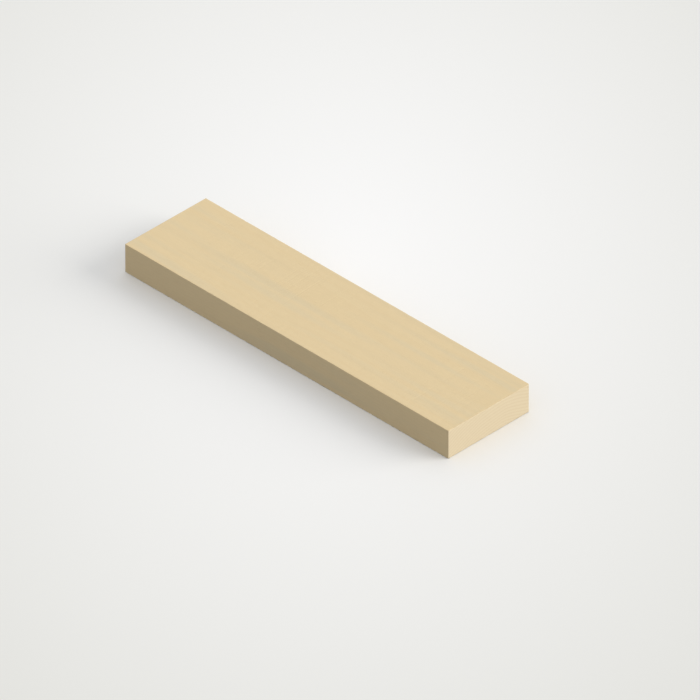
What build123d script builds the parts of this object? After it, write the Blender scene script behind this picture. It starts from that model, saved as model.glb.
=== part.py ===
from build123d import *
import os

# A rough sawn board: one straight, square-edged length of softwood, sawn on all
# four sides, cross-cut square at both ends and lying on one of its wide faces.
# Sizes are in millimetres. The origin is the middle of the underside. X runs
# along the grain, Y across the width and Z up through the thickness.

# Driving dimensions
LENGTH = 400.0
WIDTH = 100.0
THICKNESS = 30.0

# The saw leaves every arris sharp. Carrying and stacking wear the long ones round,
# and the ends lose a thinner sliver, because their fibres are short and break off.
LONG_ARRIS_RADIUS = 0.6
END_ARRIS_CHAMFER = 0.4


def sawn_section():
    """The cross-section across the grain, with its four worn arrises, centred on X."""
    section = RectangleRounded(WIDTH, THICKNESS, LONG_ARRIS_RADIUS)
    return Plane.YZ * Pos(0, THICKNESS / 2) * section


def sawn_board():
    """The section run along the grain, with the edges of both cross-cuts broken."""
    board = extrude(sawn_section(), amount=LENGTH / 2, both=True)
    cross_cuts = [board.faces().sort_by(Axis.X)[0], board.faces().sort_by(Axis.X)[-1]]
    end_edges = [edge for face in cross_cuts for edge in face.edges()]
    return chamfer(end_edges, END_ARRIS_CHAMFER)


os.makedirs("parts", exist_ok=True)
export_step(sawn_board(), "parts/board.step")
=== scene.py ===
# %% [markdown]
# # A rough sawn board
# One length of pale softwood as it leaves the saw. Its four long faces carry the
# faint ribs that the saw's teeth leave, and its two ends are cut across the grain.
# It is made in four steps: the camera, the sawn shape, the wood, and the light.

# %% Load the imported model
import math

import bmesh
import bpy
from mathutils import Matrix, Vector


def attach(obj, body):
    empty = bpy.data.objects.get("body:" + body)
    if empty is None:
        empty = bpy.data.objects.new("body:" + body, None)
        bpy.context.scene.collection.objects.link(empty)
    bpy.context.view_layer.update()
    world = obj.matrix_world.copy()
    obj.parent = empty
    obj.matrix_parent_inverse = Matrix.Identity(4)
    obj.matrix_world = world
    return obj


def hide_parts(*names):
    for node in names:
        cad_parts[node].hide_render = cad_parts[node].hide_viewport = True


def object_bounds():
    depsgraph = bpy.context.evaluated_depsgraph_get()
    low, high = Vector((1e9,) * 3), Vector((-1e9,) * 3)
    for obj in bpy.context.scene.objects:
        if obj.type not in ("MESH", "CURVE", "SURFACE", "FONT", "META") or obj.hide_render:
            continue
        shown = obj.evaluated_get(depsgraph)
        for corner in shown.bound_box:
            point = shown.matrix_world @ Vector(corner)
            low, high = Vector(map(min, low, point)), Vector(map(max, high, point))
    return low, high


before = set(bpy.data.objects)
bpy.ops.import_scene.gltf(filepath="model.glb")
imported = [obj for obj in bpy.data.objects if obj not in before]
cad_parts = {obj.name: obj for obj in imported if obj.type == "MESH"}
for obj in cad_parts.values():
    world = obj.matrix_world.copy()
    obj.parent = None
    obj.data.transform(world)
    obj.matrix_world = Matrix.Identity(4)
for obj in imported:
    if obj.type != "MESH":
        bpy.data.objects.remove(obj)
cad_low, cad_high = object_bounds()
length, width, thickness = cad_high - cad_low
MM = 0.001
print(f"the board is {length / MM:.1f} x {width / MM:.1f} x {thickness / MM:.1f} mm")

# %% [markdown]
# ## Three helpers
# Blender measures in metres, so sizes are written in millimetres and turned into
# metres. Colours are written as sRGB hex, as a paint chart gives them, and turned to
# linear light. Every tree of nodes, for a shape or for a finish, grows through one
# function that adds a node, sets its options and fills its inputs.


# %% Sizes, colours and nodes
def mm(*sizes):
    """Sizes in millimetres as metres."""
    return [size * MM for size in sizes]


def linear(hex_colour):
    """An sRGB hex colour as linear red, green, blue and alpha, by the curve of that standard."""
    channels = [int(hex_colour[start : start + 2], 16) / 255 for start in (1, 3, 5)]
    return [*(c / 12.92 if c <= 0.04045 else ((c + 0.055) / 1.055) ** 2.4 for c in channels), 1.0]


def add(tree, kind, *fillings, **settings):
    """Adds a node to a tree and returns its first output.

    Fillings go into its inputs in order. Each is a number, a colour or a vector, or the socket
    that it comes from. A setting in lower case is one of the node's options, and a capitalised
    one is an input by its name, with underscores for spaces.
    """
    node = tree.nodes.new(kind)
    for name, value in settings.items():
        if name.islower():
            setattr(node, name, value)
    inputs = [socket for socket in node.inputs if socket.enabled]
    by_name = {socket.name.replace(" ", "_"): socket for socket in reversed(inputs)}
    named = [(by_name[name], value) for name, value in settings.items() if not name.islower()]
    for socket, value in [*zip(inputs, fillings), *named]:
        if isinstance(value, bpy.types.NodeSocket):
            tree.links.new(value, socket)
        else:
            socket.default_value = value
    return next((socket for socket in node.outputs if socket.enabled), None)


MATH = "ShaderNodeMath"
VECTOR = "ShaderNodeVectorMath"
RANGE = "ShaderNodeMapRange"
NOISE = "ShaderNodeTexNoise"
MIX = "ShaderNodeMix"
JOIN_XYZ = "ShaderNodeCombineXYZ"
SPLIT_XYZ = "ShaderNodeSeparateXYZ"

# %% [markdown]
# ## The camera
# The picture is isometric: the three edges that meet at a corner make equal angles,
# and far edges don't draw together. A camera turned 45 degrees and raised 35.26
# degrees looks along that diagonal. A very long lens from far away keeps parallel
# edges parallel, and its distance follows from how many pixels the long edge takes.

# %% Camera
# The first three are in pixels of the picture: its side, the board's long edge, and
# the middle of its upper face. The camera sees as far as CLIP_DISTANCES times its own
# distance from the board.
PHOTO_SIDE = 700.0
PHOTO_LONG_EDGE = 373.7
PHOTO_TOP_CENTRE = (326.15, 313.55)
LENS = 1200.0
CLIP_DISTANCES = 4
AZIMUTH = math.radians(45)
ELEVATION = math.asin(1 / math.sqrt(3))
FORESHORTENING = math.sqrt(2 / 3)

pixel = length * FORESHORTENING / PHOTO_LONG_EDGE
level = Vector((math.sin(AZIMUTH), -math.cos(AZIMUTH), 0))
back = level * math.cos(ELEVATION) + Vector((0, 0, math.sin(ELEVATION)))
right = Vector((math.cos(AZIMUTH), math.sin(AZIMUTH), 0))
up = back.cross(right)

aim = Vector((0, 0, thickness))
aim += (PHOTO_SIDE / 2 - PHOTO_TOP_CENTRE[0]) * pixel * right
aim -= (PHOTO_SIDE / 2 - PHOTO_TOP_CENTRE[1]) * pixel * up

lens = bpy.data.cameras.new("camera")
lens.lens = LENS
distance = PHOTO_SIDE * pixel * LENS / lens.sensor_width
lens.clip_end = CLIP_DISTANCES * distance
camera = bpy.data.objects.new("camera", lens)
camera.location = aim + back * distance
camera.rotation_euler = back.to_track_quat("Z", "Y").to_euler()
bpy.context.scene.collection.objects.link(camera)
bpy.context.scene.camera = camera
print(f"the camera stands {distance:.1f} m away, and a pixel is {pixel / MM:.2f} mm")

# %% [markdown]
# ## The sizes of the sawn shape
# The board's shape follows a few rules, so Geometry Nodes make it whole, from sizes
# that have names: the stock, the worn edges, and what the saw's teeth did. A Bevel
# modifier on a box could round the edges, but it can't lay the close rows of points
# that the saw marks need. A row every 0.4 mm gives a mark six or seven rows.

# %% Sizes of the sawn shape
# Rows run across the grain, and cells count the steps of the mesh over the width and
# the thickness. Tooth Lean is how far a rib shifts along the board for its way across.
SAWN_SIZES = {
    "Length": length,
    "Width": width,
    "Thickness": thickness,
    "Arris Radius": 0.6 * MM,
    "End Chamfer": 0.4 * MM,
    "Row Pitch": 0.4 * MM,
    "Width Cells": 30,
    "Thickness Cells": 14,
    "Tooth Pitch": 2.6 * MM,
    "Tooth Depth": 0.18 * MM,
    "Tooth Lean": 0.035,
    "Edger Radius": 180.0 * MM,
    "Edger Pitch": 2.1 * MM,
    "Wave Pitch": 34.0 * MM,
    "Wave Depth": 0.05 * MM,
    "Chip Depth": 0.35 * MM,
    "Seed": 7,
}
sawing = bpy.data.node_groups.new("rough_sawing", "GeometryNodeTree")
sawing.interface.new_socket("Board", in_out="OUTPUT", socket_type="NodeSocketGeometry")
identifiers = {}
for name, value in SAWN_SIZES.items():
    kind = "NodeSocketInt" if isinstance(value, int) else "NodeSocketFloat"
    socket = sawing.interface.new_socket(name, in_out="INPUT", socket_type=kind)
    identifiers[name] = socket.identifier
given = sawing.nodes.new("NodeGroupInput").outputs
print(f"{len(identifiers)} sizes drive the board")

# %% [markdown]
# ## The blank
# The shape starts as a box of even cells. Its points are then crowded towards the
# edges, because the edges are where the form turns: the outermost cells of each face
# become as small as the worn edge, and the rest share what is left of the face.

# %% Blank
# Along X, Y and Z, the worn edge itself takes one, three and three cells, and one more
# cell of the same size lies beside it on the flat.
WORN_CELLS = (1, 3, 3)
EDGE_CELLS = (2, 4, 4)

whole = add(sawing, JOIN_XYZ, given["Length"], given["Width"], given["Thickness"])
rows = add(sawing, MATH, given["Length"], given["Row Pitch"], operation="DIVIDE")
rows = add(sawing, MATH, rows, operation="ROUND")
cells = add(sawing, JOIN_XYZ, rows, given["Width Cells"], given["Thickness Cells"])
points = add(sawing, VECTOR, cells, (1, 1, 1), operation="ADD")
points = add(sawing, SPLIT_XYZ, points).node.outputs
box = add(sawing, "GeometryNodeMeshCube", whole, points["X"], points["Y"], points["Z"])

half = add(sawing, VECTOR, whole, (0.5, 0.5, 0.5), operation="MULTIPLY")
even = add(sawing, "GeometryNodeInputPosition")
side = add(sawing, VECTOR, even, operation="SIGN")
inwards = add(sawing, VECTOR, even, operation="ABSOLUTE")
inwards = add(sawing, VECTOR, half, inwards, operation="SUBTRACT")
counted = add(sawing, VECTOR, inwards, cells, operation="MULTIPLY")
counted = add(sawing, VECTOR, counted, whole, operation="DIVIDE")

edge_reach = add(sawing, JOIN_XYZ, given["End Chamfer"], given["Arris Radius"], given["Arris Radius"])
edge_share = [edge / worn for edge, worn in zip(EDGE_CELLS, WORN_CELLS)]
edge_reach = add(sawing, VECTOR, edge_reach, edge_share, operation="MULTIPLY")
near = add(sawing, VECTOR, counted, EDGE_CELLS, operation="DIVIDE")
near = add(sawing, VECTOR, near, (1, 1, 1), operation="MINIMUM")
near = add(sawing, VECTOR, near, edge_reach, operation="MULTIPLY")

flat_reach = add(sawing, VECTOR, half, edge_reach, operation="SUBTRACT")
flat_cells = add(sawing, VECTOR, cells, (0.5, 0.5, 0.5), operation="MULTIPLY")
flat_cells = add(sawing, VECTOR, flat_cells, EDGE_CELLS, operation="SUBTRACT")
flat_pitch = add(sawing, VECTOR, flat_reach, flat_cells, operation="DIVIDE")
far = add(sawing, VECTOR, counted, EDGE_CELLS, operation="SUBTRACT")
far = add(sawing, VECTOR, far, (0, 0, 0), operation="MAXIMUM")
far = add(sawing, VECTOR, far, flat_pitch, operation="MULTIPLY")

crowded = add(sawing, VECTOR, half, near, operation="SUBTRACT")
crowded = add(sawing, VECTOR, crowded, far, operation="SUBTRACT")
crowded = add(sawing, VECTOR, side, crowded, operation="MULTIPLY")
print(f"the blank takes {len(sawing.nodes)} nodes")

# %% [markdown]
# ## Worn edges
# The arrises, which are the long edges, were knocked round by handling. A point near
# one is written as a core point and a short arm out to the corner, and the arm is
# drawn in until it lies on the arc. At the two ends the saw left a sharp edge of
# short fibres, and it crumbled into a narrow chamfer, which shifts each point there
# along the board and along its arm at once.

# %% Worn edges
# TINY stands in for the arm's length at a point that has none, so that nothing is
# divided by zero.
TINY = 1e-9
radius = given["Arris Radius"]
chamfer = given["End Chamfer"]

core_reach = add(sawing, JOIN_XYZ, 0.0, radius, radius)
core_reach = add(sawing, VECTOR, half, core_reach, operation="SUBTRACT")
core_other = add(sawing, VECTOR, core_reach, (-1, -1, -1), operation="MULTIPLY")
core = add(sawing, VECTOR, crowded, core_reach, operation="MINIMUM")
core = add(sawing, VECTOR, core, core_other, operation="MAXIMUM")
arm = add(sawing, VECTOR, crowded, core, operation="SUBTRACT")
arm_size = add(sawing, VECTOR, arm, operation="ABSOLUTE")
arm_size = add(sawing, SPLIT_XYZ, arm_size).node.outputs
arm_square = add(sawing, MATH, arm_size["Y"], arm_size["Z"], operation="MAXIMUM")
arm_length = add(sawing, VECTOR, arm, operation="LENGTH")
arm_length = add(sawing, MATH, arm_length, TINY, operation="MAXIMUM")

from_middle = add(sawing, VECTOR, crowded, operation="ABSOLUTE")
from_middle = add(sawing, SPLIT_XYZ, from_middle).node.outputs["X"]
half_length = add(sawing, SPLIT_XYZ, half).node.outputs["X"]
from_end = add(sawing, MATH, half_length, from_middle, operation="SUBTRACT")
from_skin = add(sawing, MATH, radius, arm_square, operation="SUBTRACT")
over_end = add(sawing, MATH, chamfer, from_end, operation="SUBTRACT")
over_end = add(sawing, MATH, over_end, 0.0, operation="MAXIMUM")
over_skin = add(sawing, MATH, chamfer, from_skin, operation="SUBTRACT")
over_skin = add(sawing, MATH, over_skin, 0.0, operation="MAXIMUM")
over = add(sawing, MATH, over_end, over_skin, operation="ADD")
over = add(sawing, MATH, over, chamfer, operation="MAXIMUM")
cut = add(sawing, MATH, chamfer, over, operation="DIVIDE")
cut = add(sawing, MATH, 1.0, cut, operation="SUBTRACT")

arm_cut = add(sawing, MATH, over_skin, cut, operation="MULTIPLY")
arm_cut = add(sawing, MATH, arm_square, arm_cut, operation="SUBTRACT")
arm_scale = add(sawing, MATH, arm_cut, arm_length, operation="DIVIDE")
drawn_in = add(sawing, VECTOR, arm, Scale=arm_scale, operation="SCALE")
end_shift = add(sawing, MATH, over_end, cut, operation="MULTIPLY")
end_shift = add(sawing, JOIN_XYZ, end_shift, 0.0, 0.0)
end_shift = add(sawing, VECTOR, end_shift, side, operation="MULTIPLY")
lift = add(sawing, MATH, given["Thickness"], 0.5, operation="MULTIPLY")
lift = add(sawing, JOIN_XYZ, 0.0, 0.0, lift)
worn = add(sawing, VECTOR, core, drawn_in, operation="ADD")
worn = add(sawing, VECTOR, worn, end_shift, operation="SUBTRACT")
worn = add(sawing, VECTOR, worn, lift, operation="ADD")
worn_box = add(sawing, "GeometryNodeSetPosition", box, Position=worn)
print(f"with its worn edges it takes {len(sawing.nodes)} nodes")

# %% [markdown]
# ## Ribs and patches
# Each tooth of a saw leaves one shallow groove, and the ribs stand between them. No two
# are as deep as each other, because no two teeth are set alike. The rule for that is a
# cosine along the cut, scaled by a random number for each tooth. A slow noise gives the
# patches where the blade ran clean, and those where the edge was chipped.

# %% Ribs and patches
# Each groove's chance from 0 to 1 is raised to the power FEW_DEEP, which makes deep
# ones few, and the shallowest keeps the share SHALLOWEST of the full depth.
FEW_DEEP = 3.0
SHALLOWEST = 0.25


def ribs(tree, travel, pitch, seed):
    """Grooves at an even pitch along a travel, each as deep as chance made it, from 0 to 1."""
    phase = add(tree, MATH, travel, pitch, operation="DIVIDE")
    number = add(tree, MATH, phase, operation="FLOOR")
    number = add(tree, MATH, number, seed, operation="ADD")
    chance = add(tree, "ShaderNodeTexWhiteNoise", W=number, noise_dimensions="1D")
    turn = add(tree, MATH, phase, 2 * math.pi, operation="MULTIPLY")
    groove = add(tree, MATH, turn, operation="COSINE")
    groove = add(tree, RANGE, groove, 1.0, -1.0)
    deep = add(tree, MATH, chance, FEW_DEEP, operation="POWER")
    deep = add(tree, RANGE, deep, To_Min=SHALLOWEST)
    return add(tree, MATH, groove, deep, operation="MULTIPLY")


def patches(tree, place, stretch, seed, levels, least=0.0):
    """A slow field from least to 1, in blotches of about the stretch given."""
    scattered = add(tree, VECTOR, place, stretch, operation="DIVIDE")
    field = add(tree, NOISE, scattered, W=seed, Scale=1.0, Detail=2.0, noise_dimensions="4D")
    return add(tree, RANGE, field, *levels, least, interpolation_type="SMOOTHSTEP")


# %% [markdown]
# ## Marks of the band saw
# The two wide faces were cut by a band saw, whose blade runs straight across while the
# wood moves on, so its ribs lie across the board and lean a little. The blade's flutter
# adds a longer and shallower wave. Both fade out where a face turns into an arris.

# %% Marks of the band saw
# A face counts as wide or narrow by how squarely it looks that way, from none to all.
# Below the first of ROUGH_LEVELS the noise leaves a clean patch, where the ribs keep
# CLEAN_SHARE of their depth, and above the second it leaves a rough one.
SQUARELY = (0.6, 0.95)
ROUGH_PATCH = mm(70, 35, 30)
ROUGH_LEVELS = (0.35, 0.7)
CLEAN_SHARE = 0.2

place = add(sawing, "GeometryNodeInputPosition")
along, across, height = add(sawing, SPLIT_XYZ, place).node.outputs
outwards = add(sawing, "GeometryNodeInputNormal")
facing = add(sawing, VECTOR, outwards, operation="ABSOLUTE")
facing = add(sawing, SPLIT_XYZ, facing).node.outputs
on_wide = add(sawing, RANGE, facing["Z"], *SQUARELY, interpolation_type="SMOOTHSTEP")

leaning = add(sawing, MATH, across, given["Tooth Lean"], along, operation="MULTIPLY_ADD")
band_ribs = ribs(sawing, leaning, given["Tooth Pitch"], given["Seed"])
rough_here = patches(sawing, place, ROUGH_PATCH, given["Seed"], ROUGH_LEVELS, CLEAN_SHARE)
wide_cut = add(sawing, MATH, band_ribs, rough_here, operation="MULTIPLY")
wide_cut = add(sawing, MATH, wide_cut, on_wide, operation="MULTIPLY")

wave = add(sawing, MATH, along, given["Wave Pitch"], operation="DIVIDE")
wave = add(sawing, MATH, wave, 2 * math.pi, operation="MULTIPLY")
wave = add(sawing, MATH, wave, operation="SINE")
wave = add(sawing, RANGE, wave, -1.0, 1.0)
wave_cut = add(sawing, MATH, wave, on_wide, operation="MULTIPLY")
print(f"wide faces: a rib each {SAWN_SIZES['Tooth Pitch'] / MM:.1f} mm")

# %% [markdown]
# ## Marks of the edging saw, and chips
# The narrow faces went through a round edging saw, so their ribs are arcs of its rim.
# The arrises lost a few small chips. Everything is added up to one depth and cut
# inwards from the blank, along the way that each face looks, so that the board keeps
# its size.

# %% Marks of the edging saw, and chips
# EDGER_TURN is how far round its rim the saw met the underside, in radians. A point is
# on an arris where it looks both sideways and up or down, so the product of the two is
# what ARRIS_LEVELS are compared with.
EDGER_TURN = 0.6
ARRIS_LEVELS = (0.1, 0.35)
CHIP_PATCH = mm(7, 3, 3)
CHIP_LEVELS = (0.6, 0.78)

on_narrow = add(sawing, RANGE, facing["Y"], *SQUARELY, interpolation_type="SMOOTHSTEP")
bow = add(sawing, MATH, height, given["Edger Radius"], operation="DIVIDE")
bow = add(sawing, MATH, bow, EDGER_TURN, operation="SUBTRACT")
bow = add(sawing, MATH, bow, operation="COSINE")
bow = add(sawing, MATH, bow, given["Edger Radius"], along, operation="MULTIPLY_ADD")
edger_ribs = ribs(sawing, bow, given["Edger Pitch"], given["Seed"])
narrow_cut = add(sawing, MATH, edger_ribs, on_narrow, operation="MULTIPLY")
rib_cut = add(sawing, MATH, wide_cut, narrow_cut, operation="ADD")

on_arris = add(sawing, MATH, facing["Y"], facing["Z"], operation="MULTIPLY")
on_arris = add(sawing, RANGE, on_arris, *ARRIS_LEVELS)
chips = patches(sawing, place, CHIP_PATCH, given["Seed"], CHIP_LEVELS)
chip_cut = add(sawing, MATH, chips, on_arris, operation="MULTIPLY")

depth = add(sawing, MATH, rib_cut, given["Tooth Depth"], operation="MULTIPLY")
depth = add(sawing, MATH, wave_cut, given["Wave Depth"], depth, operation="MULTIPLY_ADD")
depth = add(sawing, MATH, chip_cut, given["Chip Depth"], depth, operation="MULTIPLY_ADD")
sunk = add(sawing, MATH, depth, -1.0, operation="MULTIPLY")
carved = add(sawing, VECTOR, outwards, Scale=sunk, operation="SCALE")
sawn = add(sawing, "GeometryNodeSetPosition", worn_box, Offset=carved)
print(f"narrow faces: an arc each {SAWN_SIZES['Edger Pitch'] / MM:.1f} mm")

# %% [markdown]
# ## The wood, as a solid that was cut
# Wood is one block with a pattern running through it, and each face only shows where
# the saw opened it. So every pattern here is a field in space, read in the board's
# own coordinates: the same rings make stripes along a face and arcs on an end, and
# they meet at the edge. The pith, the tree's centre, lay below this board, and a ring
# is as wide as a quick-grown conifer's.

# %% Growth rings
# The two pairs are shares of a year: the dark wood builds up over the first, and
# fades out over the second, which is written backwards because it falls.
PITH = mm(0, 12, -85)
RING_PITCH = 3.2 * MM
WANDER = 11 * MM
WANDER_STRETCH = mm(230, 55, 55)
DARK_BUILDS = (0.35, 0.88)
DARK_ENDS = (1.0, 0.92)


def ring_reach(tree, place):
    """How far a point lies from the pith, which wanders a little along the trunk."""
    slow = add(tree, VECTOR, place, WANDER_STRETCH, operation="DIVIDE")
    wander = add(tree, NOISE, slow, Scale=1.0, Detail=2.0)
    from_pith = add(tree, VECTOR, place, PITH, operation="SUBTRACT")
    from_pith = add(tree, VECTOR, from_pith, (0, 1, 1), operation="MULTIPLY")
    reach = add(tree, VECTOR, from_pith, operation="LENGTH")
    return add(tree, MATH, wander, WANDER, reach, operation="MULTIPLY_ADD")


def latewood(tree, place):
    """The dark part of each year's ring: it builds up slowly and ends at once."""
    years = add(tree, MATH, ring_reach(tree, place), RING_PITCH, operation="DIVIDE")
    year = add(tree, MATH, years, operation="FRACT")
    builds = add(tree, RANGE, year, *DARK_BUILDS, interpolation_type="SMOOTHSTEP")
    ends = add(tree, RANGE, year, *DARK_ENDS, interpolation_type="SMOOTHSTEP")
    return add(tree, MATH, builds, ends, operation="MULTIPLY")


print(f"the board holds about {thickness / RING_PITCH:.0f} rings in its thickness")

# %% [markdown]
# ## Fibres and resin canals
# A softwood fibre is about 0.03 mm thick and 3 mm long, too fine to show. So the
# fibres are drawn as bundles, as coarse as they need to be seen: 0.4 mm thick and a
# centimetre long. Resin canals are the short fine dashes of spruce and pine. A real one
# is some 0.1 mm wide, and here it is about four times that, for the same reason.

# %% Fibres and resin canals
# A canal fades out between two distances from its middle, as shares of the spacing,
# and only a place whose chance is below CANALS_OPENED shows one.
FIBRE_BUNDLE = mm(11, 0.4, 0.4)
CANAL_SPACING = mm(26, 2.4, 2.4)
CANAL_EDGE = (0.12, 0.06)
CANALS_OPENED = 0.45


def fibres(tree, place):
    """Fine streaks along the grain, as thick and as long as a bundle of fibres."""
    stretched = add(tree, VECTOR, place, FIBRE_BUNDLE, operation="DIVIDE")
    return add(tree, NOISE, stretched, Scale=1.0, Detail=3.0, Roughness=0.6)


def resin_canals(tree, place):
    """Short thin dashes along the grain, sparse, where the saw opened a canal."""
    stretched = add(tree, VECTOR, place, CANAL_SPACING, operation="DIVIDE")
    nearest = add(tree, "ShaderNodeTexVoronoi", stretched, Scale=1.0)
    dash = add(tree, RANGE, nearest, *CANAL_EDGE, interpolation_type="SMOOTHSTEP")
    few = add(tree, MATH, nearest.node.outputs["Color"], CANALS_OPENED, operation="LESS_THAN")
    return add(tree, MATH, dash, few, operation="MULTIPLY")


# %% [markdown]
# ## Streaks of the upper face
# Where the saw met the rings at a low angle, they show as long soft streaks, a shade
# greyer than the rest. The picture shows about twenty on the upper face, all of them
# soft. A noise could scatter some like them, but never in the same places, so each is
# placed one by one: a long lens in space, darkest along its middle.

# %% Streaks of the upper face
# Each row is one streak: its left and right end along the grain, where it lies across
# the board at each of them, its half width, all in millimetres, and how dark it is.
# It reaches STREAK_DEPTH below the face, and STREAK_EDGE is where its outline lies and
# where it is darkest, as shares of the way out from its middle.
UPPER_STREAKS = [
    (-228, 118, -3.5, -1.5, 8, 1.0),
    (-15, 220, -1.5, 1.5, 5, 0.5),
    (-270, -125, 3.5, 2.5, 5, 0.6),
    (-260, -120, -7.5, -5.5, 7, 0.35),
    (-188, 78, -12.5, -14.5, 7, 0.75),
    (10, 170, -15.5, -17.5, 6, 0.3),
    (55, 305, -20.5, -20.5, 6, 0.65),
    (130, 300, -13.5, -11.5, 6, 0.45),
    (130, 300, -4.5, -3.5, 6, 0.3),
    (-220, -40, -18.5, -24.5, 5, 0.3),
    (-270, -115, -27.5, -28.5, 5, 0.55),
    (-60, 220, -30.5, -33.5, 6, 0.4),
    (75, 315, -32.5, -31.5, 6, 0.85),
    (100, 280, -38.5, -37.5, 4, 0.35),
    (-310, -30, -37.5, -47.5, 7, 0.95),
    (-280, -120, 33.5, 33.5, 6, 0.6),
    (-245, -5, 21.5, 26.5, 5, 0.4),
    (-270, -80, 15.5, 18.5, 5, 0.3),
    (-15, 355, 32.5, 33.5, 6, 0.85),
    (110, 300, 41.5, 41.5, 5, 0.65),
    (-190, 260, 53.5, 44.5, 7, 0.5),
    (-15, 230, 14.5, 17.5, 5, 0.75),
]
STREAK_DEPTH = 14.0
STREAK_EDGE = (1.0, 0.15)


def placed_streaks(tree, place):
    """The streaks of the upper face, from 0 to 1."""
    shade = 0.0
    for x_left, x_right, y_left, y_right, half_width, strength in UPPER_STREAKS:
        middle = mm((x_left + x_right) / 2, (y_left + y_right) / 2, thickness / MM)
        turned = (0, 0, math.atan2(y_right - y_left, x_right - x_left))
        reach = mm((x_right - x_left) / 2, half_width, STREAK_DEPTH)
        own = add(tree, "ShaderNodeMapping", place, middle, turned, reach, vector_type="TEXTURE")
        off_centre = add(tree, VECTOR, own, operation="LENGTH")
        soft = add(tree, RANGE, off_centre, *STREAK_EDGE, 0.0, strength, interpolation_type="SMOOTHSTEP")
        shade = add(tree, MATH, soft, shade, operation="MAXIMUM")
    return shade


print(f"{len(UPPER_STREAKS)} streaks lie on the upper face")

# %% [markdown]
# ## Streaks through the block
# Streaks of the same kind run through the rest of the wood, so that no side is bare.
# A stretched noise scatters them there, and holds back near the upper face, which has
# its own. A finer noise shifts every point a little sideways before it is looked up,
# which feathers the outlines of both kinds.

# %% Streaks through the block
# A streak is lightest where its noise is at the first of SCATTER_LEVELS and darkest at
# the second, and SCATTER_ON_TOP is the share of that which the upper face keeps.
FEATHER_STRETCH = mm(120, 4, 4)
FEATHER_SHIFT = mm(0, 6, 6)
SCATTER_STRETCH = mm(190, 15, 15)
SCATTER_LEVELS = (0.5, 0.8)
SCATTER_ON_TOP = 0.2


def streaks(tree, place):
    """Placed and scattered streaks together, with feathered outlines."""
    feather = add(tree, VECTOR, place, FEATHER_STRETCH, operation="DIVIDE")
    feather = add(tree, NOISE, feather, Scale=1.0, Detail=3.0).node.outputs["Color"]
    feather = add(tree, VECTOR, feather, (0.5, 0.5, 0.5), operation="SUBTRACT")
    feather = add(tree, VECTOR, feather, FEATHER_SHIFT, place, operation="MULTIPLY_ADD")
    placed = placed_streaks(tree, feather)

    scattered = add(tree, VECTOR, feather, SCATTER_STRETCH, operation="DIVIDE")
    scattered = add(tree, NOISE, scattered, Scale=1.0, Detail=2.0)
    scattered = add(tree, RANGE, scattered, *SCATTER_LEVELS, interpolation_type="SMOOTHSTEP")
    below = add(tree, SPLIT_XYZ, place).node.outputs["Z"]
    below = add(tree, RANGE, below, thickness, thickness - STREAK_DEPTH * MM, SCATTER_ON_TOP, 1.0)
    scattered = add(tree, MATH, scattered, below, operation="MULTIPLY")
    return add(tree, MATH, placed, scattered, operation="MAXIMUM")


# %% [markdown]
# ## Long grain
# Rough sawn spruce or pine, cut along the fibres. To the eye it is pale straw, matt,
# with soft grey streaks, hardly any ring lines, and a fine nap where the saw tore
# fibres instead of slicing them. The colour chain mixes those in turn. The nap is only
# bump, because it is finer than the cells of the mesh.

# %% Rough sawn softwood, long grain
# The two that end in SHOW are how much of a colour is mixed in at its strongest. Most
# of the noise lies within NOISE_SPREAD, and the tones are what it makes of a colour.
SAPWOOD = "#E1CA9F"
STREAK = "#DBC8A2"
LATEWOOD = "#DBBF8F"
CANAL = "#C4A878"
RINGS_SHOW = 0.12
CANALS_SHOW = 0.3
NOISE_SPREAD = (0.25, 0.75)
FACE_TONES = (0.96, 1.04)
NAP_DEPTH = 0.12 * MM


def fibre_tone(tree, colour, fine, tones):
    """A colour made darker and lighter from fibre to fibre."""
    tone = add(tree, RANGE, fine, *NOISE_SPREAD, *tones)
    return add(tree, VECTOR, colour, Scale=tone, operation="SCALE")


long_grain = bpy.data.materials.new("softwood_rough_sawn")
long_grain.use_nodes = True
tree = long_grain.node_tree
tree.nodes.clear()
place = add(tree, "ShaderNodeTexCoord").node.outputs["Object"]
fine = fibres(tree, place)
colour = add(tree, MIX, streaks(tree, place), linear(SAPWOOD), linear(STREAK), data_type="RGBA")
rings = add(tree, MATH, latewood(tree, place), RINGS_SHOW, operation="MULTIPLY")
colour = add(tree, MIX, rings, colour, linear(LATEWOOD), data_type="RGBA")
canals = add(tree, MATH, resin_canals(tree, place), CANALS_SHOW, operation="MULTIPLY")
colour = add(tree, MIX, canals, colour, linear(CANAL), data_type="RGBA")
colour = fibre_tone(tree, colour, fine, FACE_TONES)
nap = add(tree, "ShaderNodeBump", Height=fine, Distance=NAP_DEPTH)
wood = add(tree, "ShaderNodeBsdfPrincipled", Base_Color=colour, Roughness=0.88, IOR=1.5, Normal=nap)
add(tree, "ShaderNodeOutputMaterial", wood)
print(f"long grain: {len(tree.nodes)} nodes")

# %% [markdown]
# ## End grain
# The same wood, cut across its fibres. The cut ends of the fibres scatter the light,
# so an end looks a little pinker than a face, and rougher. It is also painted paler:
# partly the tone of cut fibre ends, and partly painted light that stands in for the
# stronger light on the end that faces the key. The growth rings cross it as arcs, and
# the cross-cut blade left fine arcs of its own. The crumbled rim is painted darker, a
# painted shade that dims the highlight the chamfer would catch. The ends of real fibres
# are too fine to show, so their speckle is drawn at half a millimetre, as coarse as it
# needs to be seen.

# %% Rough sawn softwood, end grain
# The blade's arcs are circles around CROSS_CUT_CENTRE, above the board and beside it.
# The end's main colour is paler than the long grain: partly the tone of cut fibre ends, partly painted
# light for the stronger light on the end that faces the key.
END_SAPWOOD_AND_PAINTED_LIGHT = "#E8D6B4"
END_LATEWOOD = "#D9C096"
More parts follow.
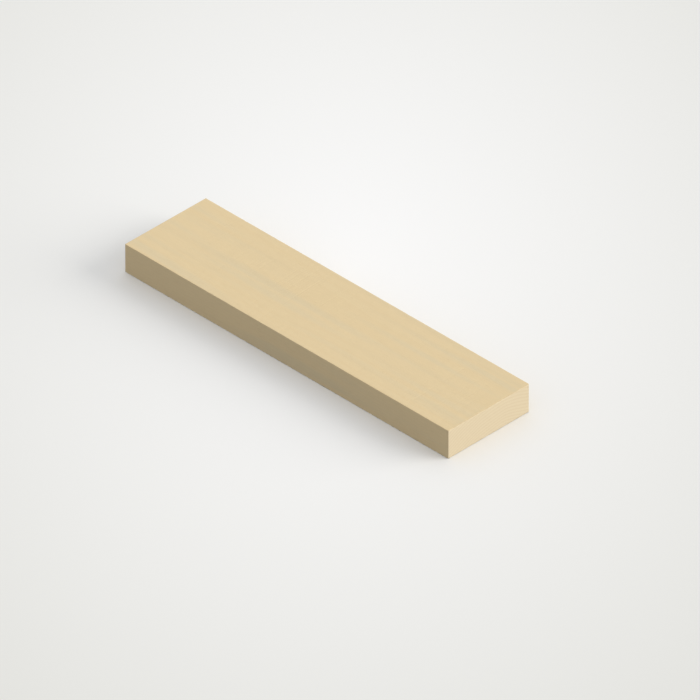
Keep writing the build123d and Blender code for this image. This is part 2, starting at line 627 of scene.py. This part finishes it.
# Painted shade: the crumbled rim's darker colour dims the highlight that the chamfer would catch from
# the key.
RIM_PAINTED_SHADE = "#CDB68C"
END_RINGS_SHOW = 0.3
END_TONES = (0.97, 1.03)
FIBRE_ENDS = mm(0.5, 0.5, 0.5)
CROSS_CUT_CENTRE = mm(0, -70, 160)
CROSS_CUT_PITCH = 1.7 * MM
SCRATCH_DEPTH = 0.1 * MM
FUZZ_DEPTH = 0.09 * MM

end_grain = bpy.data.materials.new("softwood_cross_cut")
end_grain.use_nodes = True
tree = end_grain.node_tree
tree.nodes.clear()
place = add(tree, "ShaderNodeTexCoord").node.outputs["Object"]
rings = add(tree, MATH, latewood(tree, place), END_RINGS_SHOW, operation="MULTIPLY")
colour = add(tree, MIX, rings, linear(END_SAPWOOD_AND_PAINTED_LIGHT), linear(END_LATEWOOD), data_type="RGBA")
speckle = add(tree, VECTOR, place, FIBRE_ENDS, operation="DIVIDE")
speckle = add(tree, NOISE, speckle, Scale=1.0, Detail=3.0)
colour = fibre_tone(tree, colour, speckle, END_TONES)

from_middle = add(tree, VECTOR, place, operation="ABSOLUTE")
from_middle = add(tree, SPLIT_XYZ, from_middle).node.outputs["X"]
# Painted shade: over the chamfer at each end, the colour is mixed towards that darker one.
rim_painted_shade = add(tree, RANGE, from_middle, length / 2, length / 2 - SAWN_SIZES["End Chamfer"] / 2)
colour = add(tree, MIX, rim_painted_shade, colour, linear(RIM_PAINTED_SHADE), data_type="RGBA")

from_blade = add(tree, VECTOR, place, CROSS_CUT_CENTRE, operation="SUBTRACT")
from_blade = add(tree, VECTOR, from_blade, (0, 1, 1), operation="MULTIPLY")
from_blade = add(tree, VECTOR, from_blade, operation="LENGTH")
arcs = ribs(tree, from_blade, CROSS_CUT_PITCH, 0.0)
scratches = add(tree, "ShaderNodeBump", Height=arcs, Distance=SCRATCH_DEPTH)
fuzz = add(tree, "ShaderNodeBump", Height=speckle, Distance=FUZZ_DEPTH, Normal=scratches)
wood = add(tree, "ShaderNodeBsdfPrincipled", Base_Color=colour, Roughness=0.92, IOR=1.5, Normal=fuzz)
add(tree, "ShaderNodeOutputMaterial", wood)
print(f"end grain: {len(tree.nodes)} nodes")

# %% [markdown]
# ## The wood on the shape
# The last nodes of the shape's tree give it its wood: long grain everywhere, and end
# grain where a face looks within 60 degrees of the board's length, which takes in the
# crumbled rim. Realize Instances comes before them, so that the export finds one plain
# mesh.

# %% Wood on the shape
# The cosine of those 60 degrees.
LOOKS_ALONG = 0.5

facing_ends = add(sawing, MATH, facing["X"], LOOKS_ALONG, operation="GREATER_THAN")
dressed = add(sawing, "GeometryNodeSetShadeSmooth", sawn)
dressed = add(sawing, "GeometryNodeRealizeInstances", dressed)
dressed = add(sawing, "GeometryNodeSetMaterial", dressed, Material=long_grain)
dressed = add(sawing, "GeometryNodeSetMaterial", dressed, Selection=facing_ends, Material=end_grain)
add(sawing, "NodeGroupOutput", dressed)
print(f"the whole shape takes {len(sawing.nodes)} nodes")

# %% [markdown]
# ## The finished board
# The tree's sizes are set by each socket's identifier before Blender first works it
# out, and the result is kept as a plain mesh, with no modifier left. The board rides on
# the one body of the model and stands for its one solid. A closed mesh has no open
# edges, and its volume is a little less than that of the uncut box, 1200 cm3.

# %% Finished board
board = bpy.data.objects.new("sawn_board", bpy.data.meshes.new("empty"))
bpy.context.scene.collection.objects.link(board)
saw = board.modifiers.new("rough_sawing", "NODES")
saw.node_group = sawing
for name, value in SAWN_SIZES.items():
    saw[identifiers[name]] = value
worked_out = board.evaluated_get(bpy.context.evaluated_depsgraph_get())
board_mesh = bpy.data.meshes.new_from_object(worked_out)
board.modifiers.remove(saw)
board.data = board_mesh

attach(board, "root")
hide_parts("board")

check = bmesh.new()
check.from_mesh(board_mesh)
open_edges = sum(not edge.is_manifold for edge in check.edges)
print(f"{len(check.faces)} faces, {open_edges} open edges, {check.calc_volume() / MM**3 / 1000:.1f} cm3")
check.free()

# %% [markdown]
# ## The floor's finish
# The board lies on a pale sheet. Its colour fades from white near the board to
# off-white away from it, which is a painted pool of light. The camera sees that colour,
# and so do reflections, but the light that the sheet throws back on the wood is that of
# a mid grey. A white sheet would fill in the side that lies in shade, which is dark here.

# %% Matt paper sheet
# The glow is the round fade of the floor in the picture: its middle and its reach
# there, in pixels. On the floor it is longer along the view, which looks down on it.
# The first colour is the painted light at the middle of the glow, the second the even off-white beyond
# it.
FLOOR_PAINTED_GLOW = "#FBFAF9"
FLOOR_FAR = "#E3E2DD"
FLOOR_BOUNCE = 0.22
PHOTO_GLOW_CENTRE = (350.0, 272.0)
PHOTO_GLOW_RADIUS = 560.0


def seen_or_bounced(tree, seen, bounced):
    """One colour for what looks at a surface or mirrors it, and another for what it lights."""
    rays = add(tree, "ShaderNodeLightPath").node.outputs
    looks = add(tree, MATH, rays["Is Camera Ray"], rays["Is Glossy Ray"], operation="MAXIMUM")
    looks = add(tree, MATH, looks, rays["Is Transmission Ray"], operation="MAXIMUM")
    return add(tree, MIX, looks, bounced, seen, data_type="RGBA")


glow = aim + (PHOTO_GLOW_CENTRE[0] - PHOTO_SIDE / 2) * pixel * right
glow += (PHOTO_SIDE / 2 - PHOTO_GLOW_CENTRE[1]) * pixel * up
glow -= back * (glow.z / back.z)
glow_reach = (PHOTO_GLOW_RADIUS * pixel / math.sin(ELEVATION), PHOTO_GLOW_RADIUS * pixel, 1.0)
glow_turn = (0, 0, AZIMUTH - math.pi / 2)

sheet = bpy.data.materials.new("matt_paper_sheet")
sheet.use_nodes = True
tree = sheet.node_tree
tree.nodes.clear()
place = add(tree, "ShaderNodeTexCoord").node.outputs["Object"]
place = add(tree, "ShaderNodeMapping", place, glow, glow_turn, glow_reach, vector_type="TEXTURE")
# Painted light: the floor's colour is brightest at the middle of the glow and fades outwards.
fade = add(tree, VECTOR, place, operation="LENGTH")
fade = add(tree, RANGE, fade, 0.0, 1.0)
seen = add(tree, MIX, fade, linear(FLOOR_PAINTED_GLOW), linear(FLOOR_FAR), data_type="RGBA")
colour = seen_or_bounced(tree, seen, [FLOOR_BOUNCE] * 3 + [1.0])
add(tree, "ShaderNodeOutputMaterial", add(tree, "ShaderNodeBsdfDiffuse", colour))
print(f"the floor's glow is centred on {glow.x / MM:.0f}, {glow.y / MM:.0f} mm")

# %% [markdown]
# ## The floor
# A plain disc, large enough to fill the view from every side, which isn't part of the
# board.

# %% Floor
FLOOR_RADIUS = 6.0
FLOOR_SIDES = 96

disc = bmesh.new()
bmesh.ops.create_circle(disc, cap_ends=True, segments=FLOOR_SIDES, radius=FLOOR_RADIUS)
floor_mesh = bpy.data.meshes.new("floor")
disc.to_mesh(floor_mesh)
disc.free()
floor_mesh.materials.append(sheet)
floor = bpy.data.objects.new("floor", floor_mesh)
bpy.context.scene.collection.objects.link(floor)
print(f"the floor reaches {FLOOR_RADIUS:.0f} m from the board")

# %% [markdown]
# ## The light
# The sky is the main light: broad, even and a touch cool, about three quarters of full
# white. Hardly anything else lights the long side in front, apart from what the floor
# throws back. Two broad lamps, a touch warm, bring the upper face up to a level at
# which a colour renders about as it is written. The key stands low on the right, so it
# grazes the upper face and falls more fully on the right end. The fill is weak and
# high at the back, a little to the left, and spreads the shadow towards the front.

# %% World and lamps
# The sky's colour is in linear light already. Each row is one lamp: its name, the
# direction towards it, how bright it makes a white sheet that faces it, and the angle
# that it takes up in the sky, in degrees. A sun of strength pi makes that sheet white.
SKY = (0.724, 0.739, 0.76, 1.0)
LAMP_COLOUR = "#FFFCF6"
LAMPS = [
    ("key_from_the_right", (0.6, 0.52, 0.22), 0.82, 50),
    ("fill_from_the_left", (-0.6, 0.4, 1.0), 0.065, 60),
]

world = bpy.data.worlds.new("studio")
world.use_nodes = True
tree = world.node_tree
tree.nodes.clear()
sky = seen_or_bounced(tree, linear(FLOOR_FAR), SKY)
add(tree, "ShaderNodeOutputWorld", add(tree, "ShaderNodeBackground", sky))
bpy.context.scene.world = world
bpy.context.scene.view_settings.view_transform = "Standard"

for name, towards, brightness, spread in LAMPS:
    lamp = bpy.data.lights.new(name, "SUN")
    lamp.energy = brightness * math.pi
    lamp.color = linear(LAMP_COLOUR)[:3]
    lamp.angle = math.radians(spread)
    holder = bpy.data.objects.new(name, lamp)
    holder.rotation_euler = Vector(towards).to_track_quat("Z", "Y").to_euler()
    bpy.context.scene.collection.objects.link(holder)
    print(f"{name}: {brightness} of full white, {spread} degrees wide")
